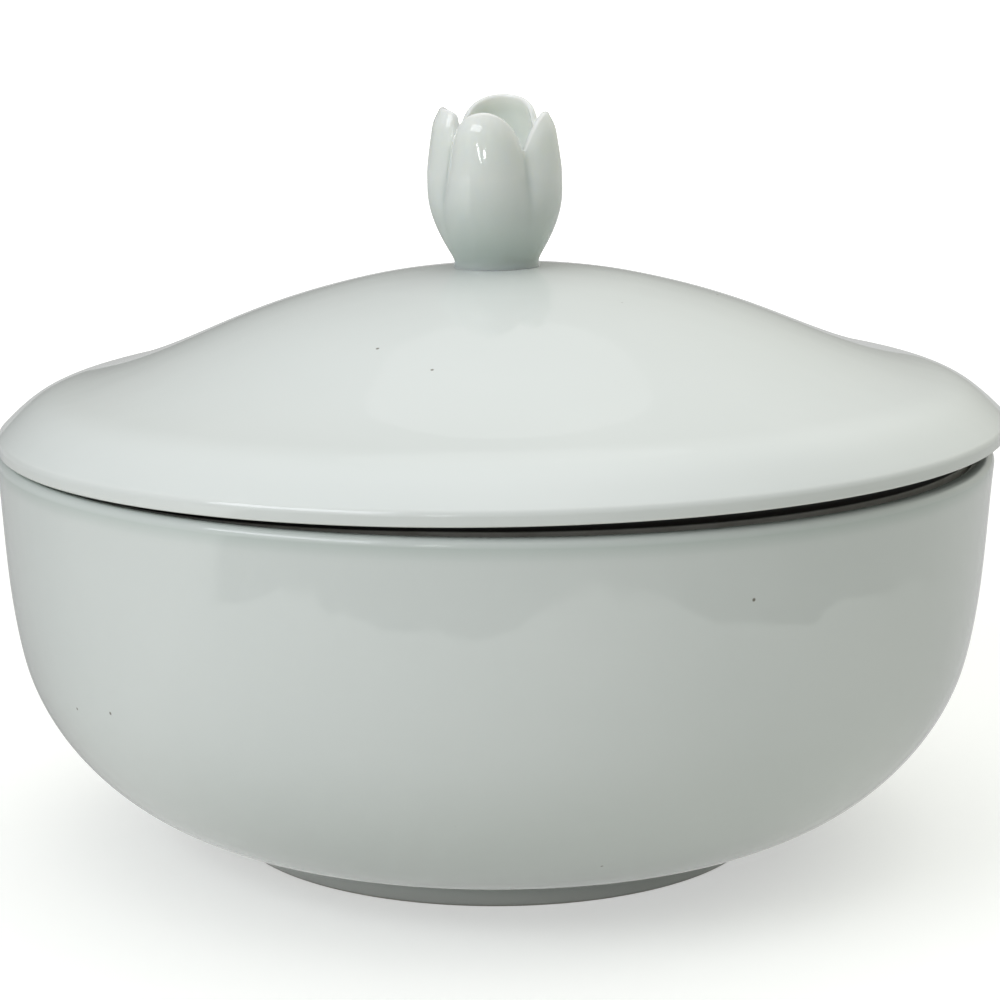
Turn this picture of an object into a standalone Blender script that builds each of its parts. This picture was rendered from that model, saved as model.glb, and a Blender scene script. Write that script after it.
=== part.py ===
"""Lidded serving bowl of glazed porcelain: bowl with a foot ring, bell-shaped lid, tulip-bud finial.

Units are metres and +Z is up. The origin is on the bowl's axis, in the plane that the foot stands on.
The front, where one petal of the finial nearly faces, is towards -Y.
"""
import math

import bmesh
import bpy
from mathutils import Vector

# Bowl
BOWL_RADIUS = 0.1101      # outside of the lip
BOWL_HEIGHT = 0.0890      # table to the top of the lip
BOWL_WALL = 0.0040
BOWL_FLOOR = 0.0048       # thickness of the bottom inside the foot ring
LIP_WIDTH = 0.0050        # the lip is a full round of this width
LIP_LEAN = math.radians(5)
SEAT_DEPTH = 0.0120       # from the top of the lip down, the inside is upright for the lid's flange
SHOULDER_DROP = 0.0445    # from the top of the lip down to where the wall turns into the belly
SHOULDER_INSET = 0.0046   # from the outside of the lip in to that place
SHOULDER_LEAN = math.radians(12.5)
INNER_PULL = 0.0090       # how firmly the inside leaves the belly and meets the upright seat
BELLY_UPPER_PULL = 0.0207 # how firmly the belly leaves the wall
BELLY_LOWER_PULL = 0.0190 # how firmly it arrives at the foot
BELLY_LOWER_SLOPE = math.radians(1.7)

# Foot ring
FOOT_RADIUS = 0.0600      # outside of the ring on the table
FOOT_HEIGHT = 0.0062      # table to the belly at the ring's root
FOOT_WIDTH = 0.0046       # ring's width on the table
FOOT_TAPER = 0.0006       # each side of the ring leans out by this much at its root
FOOT_EDGE = 0.0009        # rounding of the ring's two lower edges
FOOT_COVE = 0.0015        # hollow fillet between the ring and the bowl

# Lid
LID_OVERHANG = 0.0010     # lid's edge beyond the bowl's lip
LID_WALL = 0.0040
LID_EDGE = 0.0030         # height of the upright edge
EDGE_EASE = 0.0008        # rounding above the edge starts this far from its corner
EDGE_ROUND = 0.0008       # rounding below the edge
EDGE_LAND = 0.00044       # flat ring between that rounding and the cove of the flange
WAIST_INSET = 0.0161      # from the edge in to the waist, where the brim turns into the dome
BRIM_RISE = 0.0095        # from the top of the edge up to the waist
BRIM_START_SLOPE = math.radians(44.8)
BRIM_OUTER_PULL = 0.0088
BRIM_INNER_PULL = 0.0070
WAIST_SLOPE = math.radians(13.2)
DOME_RADIUS = 0.0330      # further in, the dome levels off towards the crown
DOME_RISE = 0.02065       # from the waist up to that place
DOME_SLOPE = math.radians(12.8)
DOME_LOWER_PULL = 0.0260
DOME_UPPER_PULL = 0.0317
CROWN_RISE = 0.00305      # from there up to the crown
CROWN_SLOPE = math.radians(3.7)
CROWN_PULL = 0.0078

# Locating flange under the lid
FLANGE_CLEARANCE = 0.00185 # to the bowl's inner wall, with the lid in the middle
FLANGE_WIDTH = 0.0032
FLANGE_STRAIGHT = 0.0012  # upright stretch between the cove at its root and its rounded end
FLANGE_INNER_PULL = 0.0060

# Finial
FINIAL_HEIGHT = 0.0369    # base to the tip of the tallest petal
FINIAL_RADIUS = 0.0150    # widest, over the ridge of a petal
FINIAL_OFFSET = 0.0005    # stuck on by hand, this far to the left of the lid's middle
NECK_RADIUS = 0.0093
NECK_HEIGHT = 0.0015      # base to where the bud starts to open
NECK_FLARE = 0.0003       # base beyond the neck
BULGE_HEIGHT = 0.0170     # where the bud has opened to its full width
OPENING_POWER = 0.95      # how gently it opens from the neck
CLOSING_LENGTH = 0.0160   # uppermost stretch, where the petals lean in again
TIP_INSET = 0.0025        # how far the petals' tips lean in
CLOSING_POWER = 1.2       # how late they lean in
TIP_CURL = 0.0014         # how far the tips curl in on top of that
CURL_LENGTH = 0.0040      # length of the curled end
PETAL_THICKNESS = 0.0018
GROOVE_SHARE = 0.78       # radius in the groove between two petals, as a share of that over a ridge
LOBE_START = 0.0040       # below this height the bud is round
LOBE_FULL = 0.0250        # above this height the petals are fully parted
CUP_DEPTH = 0.0032        # hollow between the petals, below the deepest notch
CUP_FULLNESS = 0.6        # 1 is a half-round hollow, less is squarer

# The petals were shaped by hand: front, right, back and left one. Each has its share of the full turn,
# the height of its tip and of the notch after it, both counted down from the tallest tip, and how pointed
# its rim is on either side: 1 comes to a point, 0.5 is about a half ellipse.
PETAL_SHARES = (0.255, 0.215, 0.325, 0.205)
TIP_DROPS = (0.0029, 0.0033, 0.0000, 0.0022)
NOTCH_DROPS = (0.0125, 0.0073, 0.0101, 0.0111)
PETAL_POINT = ((0.55, 0.55), (0.9, 0.4), (0.5, 0.5), (0.4, 0.4))
FRONT_TURN = math.radians(-12)  # the front petal is turned a little to the left

# Fits
SEAT_GAP = 0.0003         # between pieces that touch

# Faces around a full turn, across a petal, and along the curves of an outline
TURN_STEPS = 48
PETAL_STEPS = 12
LONG_STEPS = 10
SHORT_STEPS = 5
FILLET_STEPS = 3
LIP_STEPS = 8
PETAL_ROWS = 11
SHARP_ANGLE = math.radians(40)
QUARTER_PULL = 0.55       # handle length with which a curve follows a quarter circle of radius 1
MERGE_DISTANCE = 1e-6     # points closer than this become one

# Sizes that follow from the ones above
LIP_RADIUS = LIP_WIDTH / 2
SEAT_RADIUS = BOWL_RADIUS - LIP_WIDTH
LIP_MIDDLE = BOWL_RADIUS - LIP_RADIUS
LID_RADIUS = BOWL_RADIUS + LID_OVERHANG
FLANGE_RADIUS = SEAT_RADIUS - FLANGE_CLEARANCE
COVE_RADIUS = LID_RADIUS - EDGE_ROUND - EDGE_LAND - FLANGE_RADIUS
FLANGE_DEPTH = COVE_RADIUS + FLANGE_STRAIGHT + FLANGE_WIDTH / 2
WAIST_RADIUS = LID_RADIUS - WAIST_INSET
WAIST_HEIGHT = LID_EDGE + BRIM_RISE
CROWN_RADIUS = NECK_RADIUS + NECK_FLARE + FINIAL_OFFSET
DOME_HEIGHT = WAIST_HEIGHT + DOME_RISE
CROWN_HEIGHT = DOME_HEIGHT + CROWN_RISE

# The lid lies as it was put down, pushed to the right until the cove of its flange rides on the lip.
# The cove holds the right side up, and the left side rests on the lip.
LID_RIDE_UP = COVE_RADIUS - LIP_RADIUS - SEAT_GAP
LID_TILT = math.asin(LID_RIDE_UP / (2 * LIP_MIDDLE))
LID_SHIFT = FLANGE_CLEARANCE - SEAT_GAP - COVE_RADIUS * math.tan(LID_TILT)

# Colours of the fired glaze, linear
GLAZE_BOWL = (0.60, 0.65, 0.61, 1.0)
GLAZE_LID = (0.66, 0.71, 0.68, 1.0)
GLAZE_FINIAL = (0.63, 0.69, 0.65, 1.0)
GLAZE_ROUGHNESS = 0.12


def point(radius, height):
    """A point of an outline, as distance from the axis and height."""
    return Vector((radius, height))


def heading(slope):
    """Unit direction that runs inwards and climbs at the slope."""
    return Vector((-math.cos(slope), math.sin(slope)))


def downwards(lean):
    """Unit direction that drops and leans inwards by the angle."""
    return Vector((-math.sin(lean), -math.cos(lean)))


def curve(start, start_pull, end_pull, end, steps):
    """Points of a cubic curve; the pulls are vectors from its two ends to its handles."""
    handles = (start, start + start_pull, end + end_pull, end)
    points = []
    for step in range(steps + 1):
        t = step / steps
        weights = ((1 - t) ** 3, 3 * t * (1 - t) ** 2, 3 * t * t * (1 - t), t ** 3)
        points.append(sum((w * h for w, h in zip(weights, handles)), Vector((0, 0))))
    return points


def arc(centre, radius, first, last, steps):
    """Points of an arc; angles in degrees, 0 points away from the axis and 90 up."""
    points = []
    for step in range(steps + 1):
        angle = math.radians(first + (last - first) * step / steps)
        points.append(centre + radius * Vector((math.cos(angle), math.sin(angle))))
    return points


def beside(points, distance):
    """The same curve moved to the right of its direction, by the distance."""
    moved = []
    for index, here in enumerate(points):
        before = points[max(index - 1, 0)]
        after = points[min(index + 1, len(points) - 1)]
        along = (after - before).normalized()
        moved.append(here + distance * Vector((along.y, -along.x)))
    return moved


def glaze(name, colour):
    material = bpy.data.materials.new(name)
    material.use_nodes = True
    shader = material.node_tree.nodes["Principled BSDF"]
    shader.inputs["Base Color"].default_value = colour
    shader.inputs["Roughness"].default_value = GLAZE_ROUGHNESS
    shader.inputs["Metallic"].default_value = 0.0
    return material


def finish(body, name, colour):
    """Closes a body, shades it smooth and gives it its own object and glaze."""
    bmesh.ops.remove_doubles(body, verts=body.verts, dist=MERGE_DISTANCE)
    bmesh.ops.recalc_face_normals(body, faces=body.faces)
    mesh = bpy.data.meshes.new(name)
    body.to_mesh(mesh)
    body.free()
    mesh.shade_smooth()
    mesh.set_sharp_from_angle(angle=SHARP_ANGLE)
    mesh.materials.append(glaze(name + "_glaze", colour))
    piece = bpy.data.objects.new(name, mesh)
    bpy.context.scene.collection.objects.link(piece)
    return piece


def turned(outline):
    """A body turned from an outline that starts and ends on the axis."""
    body = bmesh.new()
    verts = [body.verts.new((p.x, 0, p.y)) for p in outline]
    edges = [body.edges.new(pair) for pair in zip(verts, verts[1:])]
    bmesh.ops.spin(body, geom=verts + edges, cent=(0, 0, 0), axis=(0, 0, 1),
                   angle=2 * math.pi, steps=TURN_STEPS, use_merge=True)
    return body


def bowl_outline():
    """From the middle of the floor up the inside, over the lip, then down the outside to the base."""
    lip = arc(point(LIP_MIDDLE, BOWL_HEIGHT - LIP_RADIUS), LIP_RADIUS,
              180, -math.degrees(LIP_LEAN), LIP_STEPS)
    shoulder = point(BOWL_RADIUS - SHOULDER_INSET, BOWL_HEIGHT - SHOULDER_DROP)
    wall_pull = (lip[-1].y - shoulder.y) / 3
    wall = curve(lip[-1], wall_pull * downwards(LIP_LEAN), -wall_pull * downwards(SHOULDER_LEAN),
                 shoulder, SHORT_STEPS)
    root = point(FOOT_RADIUS + FOOT_TAPER + FOOT_COVE, FOOT_HEIGHT)
    belly = curve(shoulder, BELLY_UPPER_PULL * downwards(SHOULDER_LEAN),
                  -BELLY_LOWER_PULL * heading(-BELLY_LOWER_SLOPE), root, LONG_STEPS)

    # The base sags to the middle as a shallow dish that carries on the belly's slope.
    base_sag = root.x * math.tan(BELLY_LOWER_SLOPE) / 2

    def base_height(radius):
        return FOOT_HEIGHT - base_sag * (1 - (radius / root.x) ** 2)

    inner_belly = beside(belly, BOWL_WALL)
    inner_wall = curve(inner_belly[0], -INNER_PULL * downwards(SHOULDER_LEAN), Vector((0, -INNER_PULL)),
                       point(SEAT_RADIUS, BOWL_HEIGHT - SEAT_DEPTH), SHORT_STEPS)
    floor_edge = inner_belly[-1]
    floor_middle = point(0, base_height(0) + BOWL_FLOOR)
    floor_pull = floor_edge.x / 3
    floor = curve(floor_middle, Vector((floor_pull, 0)), floor_pull * heading(-BELLY_LOWER_SLOPE),
                  floor_edge, SHORT_STEPS)

    ring_inside = FOOT_RADIUS - FOOT_WIDTH
    inner_root = ring_inside - FOOT_TAPER - FOOT_COVE
    cove_pull = QUARTER_PULL * FOOT_COVE
    ring_outer_side = curve(root, cove_pull * heading(-BELLY_LOWER_SLOPE), Vector((0, cove_pull)),
                            point(FOOT_RADIUS + FOOT_TAPER, FOOT_HEIGHT - FOOT_COVE), FILLET_STEPS)
    ring_outer_edge = arc(point(FOOT_RADIUS - FOOT_EDGE, FOOT_EDGE), FOOT_EDGE, 0, -90, FILLET_STEPS)
    ring_inner_edge = arc(point(ring_inside + FOOT_EDGE, FOOT_EDGE), FOOT_EDGE, -90, -180, FILLET_STEPS)
    ring_inner_side = curve(point(ring_inside - FOOT_TAPER, base_height(inner_root) - FOOT_COVE),
                            Vector((0, cove_pull)), Vector((cove_pull, 0)),
                            point(inner_root, base_height(inner_root)), FILLET_STEPS)
    base = [point(inner_root * share, base_height(inner_root * share)) for share in (2 / 3, 1 / 3, 0)]

    inside = floor + inner_belly[-2::-1] + inner_wall[1:] + lip
    foot = ring_outer_side[1:] + ring_outer_edge + ring_inner_edge + ring_inner_side
    return inside + wall[1:] + belly[1:] + foot + base


def lid_outline():
    """From the crown down the outside, then back inside; z = 0 is under the lid's edge."""
    waist = point(WAIST_RADIUS, WAIST_HEIGHT)
    crown = point(CROWN_RADIUS, CROWN_HEIGHT)
    edge_corner = point(LID_RADIUS, LID_EDGE)
    brim_end = edge_corner + EDGE_EASE * heading(BRIM_START_SLOPE)
    dome_top = point(DOME_RADIUS, DOME_HEIGHT)
    dome = curve(crown, -CROWN_PULL * heading(CROWN_SLOPE), CROWN_PULL * heading(DOME_SLOPE),
                 dome_top, SHORT_STEPS)
    dome += curve(dome_top, -DOME_UPPER_PULL * heading(DOME_SLOPE), DOME_LOWER_PULL * heading(WAIST_SLOPE),
                  waist, LONG_STEPS)[1:]
    brim = curve(waist, -BRIM_INNER_PULL * heading(WAIST_SLOPE),
                 BRIM_OUTER_PULL * heading(BRIM_START_SLOPE), brim_end, LONG_STEPS)
    ease_pull = QUARTER_PULL * EDGE_EASE
    ease = curve(brim_end, -ease_pull * heading(BRIM_START_SLOPE), Vector((0, ease_pull)),
                 edge_corner - Vector((0, EDGE_EASE)), FILLET_STEPS)
    edge = arc(point(LID_RADIUS - EDGE_ROUND, EDGE_ROUND), EDGE_ROUND, 0, -90, FILLET_STEPS)

    cove = arc(point(FLANGE_RADIUS + COVE_RADIUS, -COVE_RADIUS), COVE_RADIUS, 90, 180, SHORT_STEPS)
    flange_end = FLANGE_WIDTH / 2
    flange_tip = arc(point(FLANGE_RADIUS - flange_end, flange_end - FLANGE_DEPTH), flange_end,
                     0, -180, SHORT_STEPS)

    under_dome = beside(dome, LID_WALL)
    under_waist = under_dome[-1]
    flange_back = point(FLANGE_RADIUS - FLANGE_WIDTH, 0)
    under_brim = curve(flange_back, Vector((0, FLANGE_INNER_PULL)),
                       -FLANGE_INNER_PULL * heading(WAIST_SLOPE), under_waist, SHORT_STEPS)

    outside = [point(0, CROWN_HEIGHT)] + dome + brim[1:] + ease[1:] + edge
    flange = cove + flange_tip
    under = under_brim + under_dome[-2::-1] + [point(0, under_dome[0].y)]
    return outside + flange + under


def bud_radius(height):
    """Radius of the bud over the ridge of a petal."""
    if height < NECK_HEIGHT:
        return NECK_RADIUS + NECK_FLARE * (1 - height / NECK_HEIGHT) ** 2
    if height < BULGE_HEIGHT:
        opened = (height - NECK_HEIGHT) / (BULGE_HEIGHT - NECK_HEIGHT)
        return NECK_RADIUS + (FINIAL_RADIUS - NECK_RADIUS) * math.sin(opened * math.pi / 2) ** OPENING_POWER
    closed = max(0.0, 1 - (FINIAL_HEIGHT - height) / CLOSING_LENGTH)
    return FINIAL_RADIUS - TIP_INSET * closed ** CLOSING_POWER


def petal_spans():
    """Direction of the ridge and half the sector of each petal."""
    spans = []
    groove = FRONT_TURN - math.pi / 2 - math.pi * PETAL_SHARES[0] / sum(PETAL_SHARES)
    for share in PETAL_SHARES:
        half = math.pi * share / sum(PETAL_SHARES)
        spans.append((groove + half, half))
        groove += 2 * half
    return spans


def petal_place(across, half_sector):
    """Angle from a petal's ridge and share of the ridge's radius, for -1 to 1 across the petal.

    The cross-section of a petal is an arc whose centre lies off the finial's axis, so that the petals
    meet in sharp grooves.
    """
    centre = (1 - GROOVE_SHARE ** 2) / (2 * (1 - GROOVE_SHARE * math.cos(half_sector)))
    groove = math.atan2(GROOVE_SHARE * math.sin(half_sector), GROOVE_SHARE * math.cos(half_sector) - centre)
    ahead = centre + (1 - centre) * math.cos(groove * across)
    aside = (1 - centre) * math.sin(groove * across)
    return math.atan2(aside, ahead), math.hypot(ahead, aside)


def petal_section(across, half_sector, tip, notch, pointed):
    """Outline of the finial through a petal: base, outside, rounded rim, hollow to its middle."""
    angle, share = petal_place(across, half_sector)
    tip_share = max(0.0, math.cos(across * math.pi / 2)) ** pointed
    top = notch + (tip - notch) * tip_share
    rim_radius = PETAL_THICKNESS / 2

    def outer_radius(height):
        parted = min(1.0, max(0.0, (height - LOBE_START) / (LOBE_FULL - LOBE_START)))
        parted = parted * parted * (3 - 2 * parted)
        curl = TIP_CURL * tip_share * max(0.0, 1 - (top - height) / CURL_LENGTH) ** 2
        return bud_radius(height) * (1 - parted * (1 - share)) - curl

    rim_height = top - rim_radius
    heights = [0, NECK_HEIGHT / 2, NECK_HEIGHT]
    row_height = (rim_height - NECK_HEIGHT) / PETAL_ROWS
    heights += [NECK_HEIGHT + row_height * row for row in range(1, PETAL_ROWS + 1)]
    outside = [point(outer_radius(height), height) for height in heights]
    rim = arc(point(outer_radius(rim_height) - rim_radius, rim_height), rim_radius, 0, 180, SHORT_STEPS)
    hollow = []
    drop = rim_height - (FINIAL_HEIGHT - max(NOTCH_DROPS) - CUP_DEPTH)
    for step in range(1, SHORT_STEPS + 1):
        way = step / SHORT_STEPS * math.pi / 2
        height = rim_height - drop * math.sin(way)
        wall = outer_radius(height) - PETAL_THICKNESS
        hollow.append(point(wall * max(0.0, math.cos(way)) ** CUP_FULLNESS, height))
    hollow[-1].x = 0
    return angle, [point(0, 0)] + outside + rim[1:] + hollow


def finial_body():
    """A flat grid wrapped round the axis; its width runs over the petals, its height along their section."""
    columns = []
    for petal, (ridge, half_sector) in enumerate(petal_spans()):
        tip = FINIAL_HEIGHT - TIP_DROPS[petal]
        for step in range(PETAL_STEPS):
            across = 2 * step / PETAL_STEPS - 1
            notch = FINIAL_HEIGHT - NOTCH_DROPS[petal if across > 0 else petal - 1]
            pointed = PETAL_POINT[petal][across > 0]
            angle, section = petal_section(across, half_sector, tip, notch, pointed)
            columns.append((ridge + angle, section))
    columns.append(columns[0])
    rows = len(columns[0][1]) - 1
    body = bmesh.new()
    bmesh.ops.create_grid(body, x_segments=len(columns) - 1, y_segments=rows, size=0.5)
    for vert in body.verts:
        turn, section = columns[round((vert.co.x + 0.5) * (len(columns) - 1))]
        place = section[round((vert.co.y + 0.5) * rows)]
        vert.co = (place.x * math.cos(turn), place.x * math.sin(turn), place.y)
    return body


def build():
    for old in list(bpy.data.objects):
        bpy.data.objects.remove(old, do_unlink=True)

    finish(turned(bowl_outline()), "bowl", GLAZE_BOWL)

    seat = bpy.data.objects.new("lid_seat", None)
    bpy.context.scene.collection.objects.link(seat)
    left_rest = Vector((-LIP_MIDDLE, 0, BOWL_HEIGHT + SEAT_GAP))
    reach = LIP_MIDDLE + LID_SHIFT
    seat.location = left_rest + reach * Vector((math.cos(LID_TILT), 0, math.sin(LID_TILT)))
    seat.rotation_euler = (0, -LID_TILT, 0)

    lid = finish(turned(lid_outline()), "lid", GLAZE_LID)
    lid.parent = seat

    finial = finish(finial_body(), "finial", GLAZE_FINIAL)
    finial.parent = seat
    finial.location = (-FINIAL_OFFSET, 0, CROWN_HEIGHT + SEAT_GAP)


build()
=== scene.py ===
# %% [markdown]
# # A lidded serving bowl in glazed porcelain
# The object is a round covered bowl: a bowl on a foot ring, a bell-shaped lid and a finial like a tulip bud.
# Its solids come packed as a fixed frame, in metres with +Z up. This lesson makes the visible pieces around
# that frame, gives them a glaze, and sets up the floor, the light and the camera.

# %% Load the frame
import math

import bmesh
import bpy
from mathutils import Matrix, Vector
from mathutils.geometry import interpolate_bezier


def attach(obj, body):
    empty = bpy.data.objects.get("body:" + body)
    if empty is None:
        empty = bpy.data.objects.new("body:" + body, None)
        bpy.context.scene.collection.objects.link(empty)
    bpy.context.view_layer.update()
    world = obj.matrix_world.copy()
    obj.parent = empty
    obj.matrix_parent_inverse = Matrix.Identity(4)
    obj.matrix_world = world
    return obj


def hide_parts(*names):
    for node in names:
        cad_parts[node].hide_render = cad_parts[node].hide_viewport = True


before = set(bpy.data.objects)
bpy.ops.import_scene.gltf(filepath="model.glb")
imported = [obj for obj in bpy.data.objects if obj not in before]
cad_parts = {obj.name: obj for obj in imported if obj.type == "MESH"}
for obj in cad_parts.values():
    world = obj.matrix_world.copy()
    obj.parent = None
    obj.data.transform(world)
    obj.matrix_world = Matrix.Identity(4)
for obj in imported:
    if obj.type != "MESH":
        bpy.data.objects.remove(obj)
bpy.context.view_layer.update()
MM = 0.001

# %% [markdown]
# ## Drawing a profile
# Bowls and lids like these are cast in a plaster mould that was turned on a lathe, so each is one outline
# swept round an axis. A stack of primitives would leave seams, and sculpting would not stay round. So an
# outline is drawn by extruding a single vertex from station to station, its corners are rounded with a
# vertex bevel as a template is rounded with a file, and a full spin turns it into a body.

# %% Stations and curves of an outline


def at(radius, height):
    """A station of an outline, in mm from the axis and above the piece's own zero."""
    return Vector((radius * MM, height * MM, 0))


def uphill(slope_degrees, length):
    """An arm of the length in mm that runs towards the axis and climbs at the slope."""
    slope = math.radians(slope_degrees)
    return Vector((-math.cos(slope), math.sin(slope), 0)) * length * MM


def downhill(lean_degrees, length):
    """An arm of the length in mm that drops and leans towards the axis."""
    lean = math.radians(lean_degrees)
    return Vector((-math.sin(lean), -math.cos(lean), 0)) * length * MM


def sweep(start, start_arm, end_arm, end, count):
    """Stations of a smooth curve between two ends, each with the arm that pulls it."""
    return interpolate_bezier(start, start + start_arm, end + end_arm, end, count)


def alongside(stations, distance):
    """The same curve moved to the right of its direction, which gives a wall its other face."""
    moved = []
    for index, here in enumerate(stations):
        before = stations[max(index - 1, 0)]
        after = stations[min(index + 1, len(stations) - 1)]
        along = (after - before).normalized()
        moved.append(here + Vector((along.y, -along.x, 0)) * distance * MM)
    return moved


print("an arm of 10 mm that climbs at 30 degrees:", [round(part / MM, 2) for part in uphill(30, 10)])

# %% Outlines and turned bodies
CORNER_SEGMENTS = 8
TURN_STEPS = 192
HAIR = 0.01  # mm that two roundings of one edge leave between them
SEAM = 0.001  # mm, points closer than this are merged


def draw_profile(stations):
    """Extrudes one vertex along the stations; a pair of station and radius in mm is a rounded corner."""
    profile = bmesh.new()
    corners = []
    tip = None
    for station in stations:
        place, rounding = station if isinstance(station, tuple) else (station, 0)
        if tip is None:
            tip = bmesh.ops.create_vert(profile)["vert"][0]
        else:
            tip = bmesh.ops.extrude_vert_indiv(profile, verts=[tip])["verts"][0]
        tip.co = (place.x, 0, place.y)
        if rounding:
            corners.append((tip, rounding * MM))
    for corner, rounding in corners:
        bmesh.ops.bevel(profile, geom=[corner], offset=rounding, offset_type="OFFSET", affect="VERTICES",
                        segments=CORNER_SEGMENTS, profile=0.5, material=-1)
    return profile


def close(body):
    """Merges seam and poles, and turns all faces outwards."""
    bmesh.ops.remove_doubles(body, verts=body.verts, dist=SEAM * MM)
    bmesh.ops.recalc_face_normals(body, faces=body.faces)


def turn(profile):
    """Spins the profile round the axis and closes the body."""
    bmesh.ops.spin(profile, geom=profile.verts[:] + profile.edges[:], cent=(0, 0, 0), axis=(0, 0, 1),
                   angle=2 * math.pi, steps=TURN_STEPS, use_merge=True)
    close(profile)
    return profile


print("outlines are turned in", TURN_STEPS, "steps")

# %% [markdown]
# ## Where glaze runs and where it thins, and painted shade
# Molten glaze pulls away from sharp edges and gathers in hollows, so porcelain looks whiter along a rim and
# a little greener in a groove. A painted mask would have to follow every edge by hand. Here each vertex
# stores how strongly the surface bends there, measured from its neighbours, and the glaze reads that number
# later. A height in the piece adds to the number or takes from it: the glaze is thinner on the foot, and
# painted shade darkens it under the lid's edge and at the finial's foot.

# %% The bend of a surface
SHARPEST_BEND = 1.0  # per mm, so a rounding of 1 mm
BEND_BLURS = 2


def measure_bend(body):
    """Stores glaze_and_shade_flow on each vertex: below 0 on edges, above 0 in hollows, 0 where it is flat."""
    flow = body.verts.layers.float.new("glaze_and_shade_flow")
    body.normal_update()
    for vert in body.verts:
        bends = []
        for edge in vert.link_edges:
            step = edge.other_vert(vert).co - vert.co
            bends.append(2 * vert.normal.dot(step) / step.length_squared * MM)
        vert[flow] = max(-SHARPEST_BEND, min(SHARPEST_BEND, sum(bends) / len(bends)))
    for blur in range(BEND_BLURS):
        means = []
        for vert in body.verts:
            near = [edge.other_vert(vert)[flow] for edge in vert.link_edges]
            means.append((vert[flow] + sum(near)) / (1 + len(near)))
        for vert, mean in zip(body.verts, means):
            vert[flow] = mean


def shift_glaze_and_shade(piece, start, end, amount):
    """Adds to the flow, from nothing at height start, in metres, to the amount at height end. A positive
    amount darkens and greens the glaze, which here is painted shade; a negative one thins it.
    """
    for vert, flow in zip(piece.data.vertices, piece.data.attributes["glaze_and_shade_flow"].data):
        flow.value += amount * min(1.0, max(0.0, (vert.co.z - start) / (end - start)))


print("the glaze tells bends down to a rounding of", 1 / SHARPEST_BEND, "mm")

# %% From a body to an object


def paint_bare(body, is_bare):
    """Gives the faces where is_bare says so the second material, which is unglazed."""
    bare_faces = [face for face in body.faces if is_bare(face.calc_center_median() / MM)]
    for face in bare_faces:
        face.material_index = 1
    print("bare faces:", len(bare_faces))


def make_object(body, name):
    """Turns a finished body into an object that sits at the origin."""
    mesh = bpy.data.meshes.new(name)
    body.to_mesh(mesh)
    body.free()
    made = bpy.data.objects.new(name, mesh)
    bpy.context.scene.collection.objects.link(made)
    print(name, "has", len(mesh.polygons), "faces")
    return made


def make_piece(body, name):
    """Makes a smooth-shaded piece of porcelain, with its bend measured."""
    measure_bend(body)
    piece = make_object(body, name)
    piece.data.shade_smooth()
    return piece


print("pieces sit at the origin, with their place in their mesh")

# %% [markdown]
# ## The bowl
# The bowl has an upper wall that leans out slightly up to a rounded lip, a belly that rolls in underneath,
# and a foot ring that lifts it off the table. The inside follows the outside at the thickness of the wall.
# All of it is one turned outline. The glaze is painted darker and greener towards the lip, as shade under the
# lid's edge.
# It is thin on the foot, and the ring's lowest face was wiped, or it would stick to the kiln shelf.

# %% Sizes of the bowl, in mm and degrees
BOWL_RADIUS = 110.1
BOWL_HEIGHT = 89.0
BOWL_WALL = 4.0
BOWL_FLOOR = 4.8
LIP_WIDTH = 5.0
LIP_LEAN = 5.0
LIP_CORNER, LIP_FLARE = 1.9, 0.2
SEAT_DEPTH = 12.0
SEAT_PULL = 9.0  # a pull is how firmly a curve leaves its end
SHOULDER_RADIUS, SHOULDER_HEIGHT = 105.5, 44.5
SHOULDER_LEAN = 12.5
BELLY_SLOPE = 1.7
BELLY_UPPER_PULL, BELLY_LOWER_PULL = 20.7, 19.0
FOOT_RADIUS = 60.0
FOOT_HEIGHT = 6.2
FOOT_WIDTH = 4.6
FOOT_TAPER = 0.6
FOOT_EDGE = 0.9
FOOT_COVE = 1.5
OUTER_ROOT_DROP, INNER_ROOT_DROP = 0.05, 0.2
BASE_INSET, BASE_DROP, BASE_DIP, BASE_PULL = 1.0, 0.25, 0.4, 14.0
WIPED_HEIGHT = 0.5
LIP_SHADE_HEIGHT = 5.0
LIP_SHADE, FOOT_GLAZE = 0.55, -0.8  # painted shade under the lid, darker towards the lip; thinner glaze on the foot
print("bowl", 2 * BOWL_RADIUS, "mm across and", BOWL_HEIGHT, "mm high")

# %% Curves of the bowl
shoulder = at(SHOULDER_RADIUS, SHOULDER_HEIGHT)
foot_root = at(FOOT_RADIUS + FOOT_TAPER + FOOT_COVE, FOOT_HEIGHT)
wall_pull = (BOWL_HEIGHT - SHOULDER_HEIGHT) / 3
wall = sweep(at(BOWL_RADIUS - LIP_FLARE, BOWL_HEIGHT - LIP_WIDTH / 2), downhill(LIP_LEAN, wall_pull),
             downhill(SHOULDER_LEAN, -wall_pull), shoulder, 24)
belly = sweep(shoulder, downhill(SHOULDER_LEAN, BELLY_UPPER_PULL),
              uphill(-BELLY_SLOPE, -BELLY_LOWER_PULL), foot_root, 32)

inner_belly = alongside(belly, BOWL_WALL)[::-1]
seat_radius = BOWL_RADIUS - LIP_WIDTH
inner_wall = sweep(inner_belly[-1], downhill(SHOULDER_LEAN, -SEAT_PULL), at(0, -SEAT_PULL),
                   at(seat_radius, BOWL_HEIGHT - SEAT_DEPTH), 20)

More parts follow.
